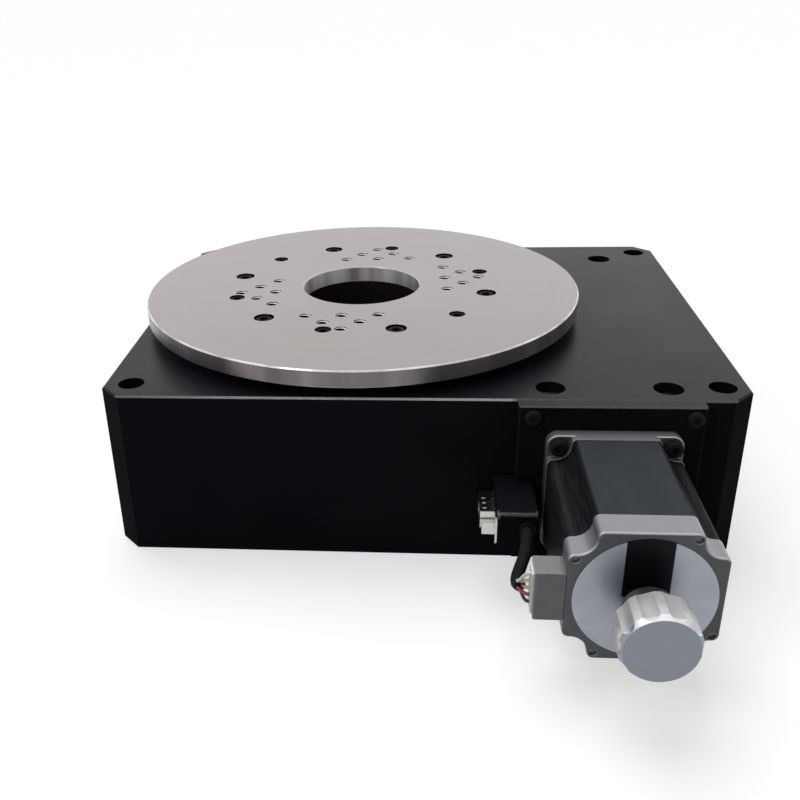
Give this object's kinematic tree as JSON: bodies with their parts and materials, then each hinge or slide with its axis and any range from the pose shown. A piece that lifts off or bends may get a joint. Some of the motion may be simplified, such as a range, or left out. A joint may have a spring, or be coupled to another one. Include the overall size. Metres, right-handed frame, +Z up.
{
  "type": "motorized rotation stage",
  "caption": "Worm-driven rotation stage: a round metal table with tapped holes and a through bore turns on a black base, driven by a stepper motor with a rear hand knob.",
  "frame": {"origin": "where the rotation axis meets the mounting face of the base", "axes": "+Z up along the rotation axis, +X towards the motor end of the base, -Y towards the motor's knob"},
  "size_m": [0.2855, 0.333, 0.0935],
  "materials": {
    "table_metal": "satin turned plate",
    "black_metal": "satin black anodised",
    "screw_black": "black oxide",
    "steel": "ground steel",
    "blackened_steel": "black oxide",
    "bronze": "machined bronze",
    "alloy": "machined",
    "elastomer": "moulded",
    "bell_grey": "satin grey casting",
    "stator_grey": "satin slate grey",
    "rotor_steel": "laminated",
    "copper": "wound copper",
    "disc_silver": "satin",
    "band_black": "plain black",
    "knob_metal": "satin",
    "socket_grey": "moulded",
    "plug_white": "moulded",
    "wire_plastic": "coloured insulation",
    "sleeve_black": "woven sleeve",
    "plated": "nickel plated",
    "pin_gold": "gold plated",
    "insulator_black": "moulded"
  },
  "bodies": {
    "base": {"housing": "black_metal", "bottom_cover": "black_metal", "bottom_cover_screws": "screw_black", "bearing_clamp_ring": "alloy", "clamp_ring_screws": "screw_black", "main_bearing_outer_ring": "steel", "worm_block": "alloy", "worm_block_screws": "screw_black", "worm_bearing_outer_rings": "steel", "worm_bearing_retainer": "alloy", "worm_rear_plug": "alloy", "motor_adapter_plate": "black_metal", "adapter_plate_screws": "screw_black", "motor_front_bell": "bell_grey", "motor_mounting_screws": "screw_black", "motor_stator": "stator_grey", "motor_windings": "copper", "motor_rear_bell": "bell_grey", "motor_tie_screws": "screw_black", "motor_bearing_outer_rings": "steel", "motor_rear_disc": "disc_silver", "motor_rear_band": "band_black", "motor_socket": "socket_grey", "motor_plug": "plug_white", "motor_lead_wires": "wire_plastic", "motor_lead_sleeve": "sleeve_black", "motor_lead_grommet": "elastomer", "connector_box": "black_metal", "connector_box_screw": "screw_black", "dsub_shell": "plated", "dsub_insulator": "insulator_black", "dsub_pins": "pin_gold", "dsub_jackposts": "plated", "home_sensor": "insulator_black", "home_sensor_screws": "screw_black"},
    "table": {"table_top": "table_metal", "table_screws": "screw_black", "table_set_screws": "screw_black", "spindle": "blackened_steel", "main_bearing_inner_ring": "steel", "wheel_carrier": "alloy", "wheel_carrier_screws": "screw_black", "worm_wheel": "bronze", "worm_wheel_screws": "screw_black", "home_flag": "steel", "home_flag_screw": "screw_black"},
    "worm_drive": {"worm_shaft": "steel", "worm_bearing_inner_rings": "steel", "worm_lock_nut": "steel", "coupling_hub_motor": "alloy", "coupling_spider": "elastomer", "coupling_hub_worm": "alloy", "coupling_set_screws": "screw_black", "motor_shaft": "steel", "motor_rotor": "rotor_steel", "motor_bearing_inner_rings": "steel", "hand_knob": "knob_metal", "hand_knob_set_screw": "screw_black"},
    "roller_set": {"main_bearing_rollers": "steel", "main_bearing_cage": "bronze"}
  },
  "joints": [
    {"name": "table_spin", "type": "hinge", "parent": "base", "child": "table", "pos_m": [0, 0, 0], "axis": [0, 0, 1], "continuous": true},
    {"name": "worm_spin", "type": "hinge", "parent": "base", "child": "worm_drive", "pos_m": [0.1135, 0, 0.0405], "axis": [0, 1, 0], "continuous": true},
    {"name": "roller_spin", "type": "hinge", "parent": "base", "child": "roller_set", "pos_m": [0, 0, 0], "axis": [0, 0, 1], "continuous": true}
  ],
  "couplings": [
    {"joint": "worm_spin", "follows": "table_spin", "ratio": -90},
    {"joint": "roller_spin", "follows": "table_spin", "ratio": 0.476}
  ]
}
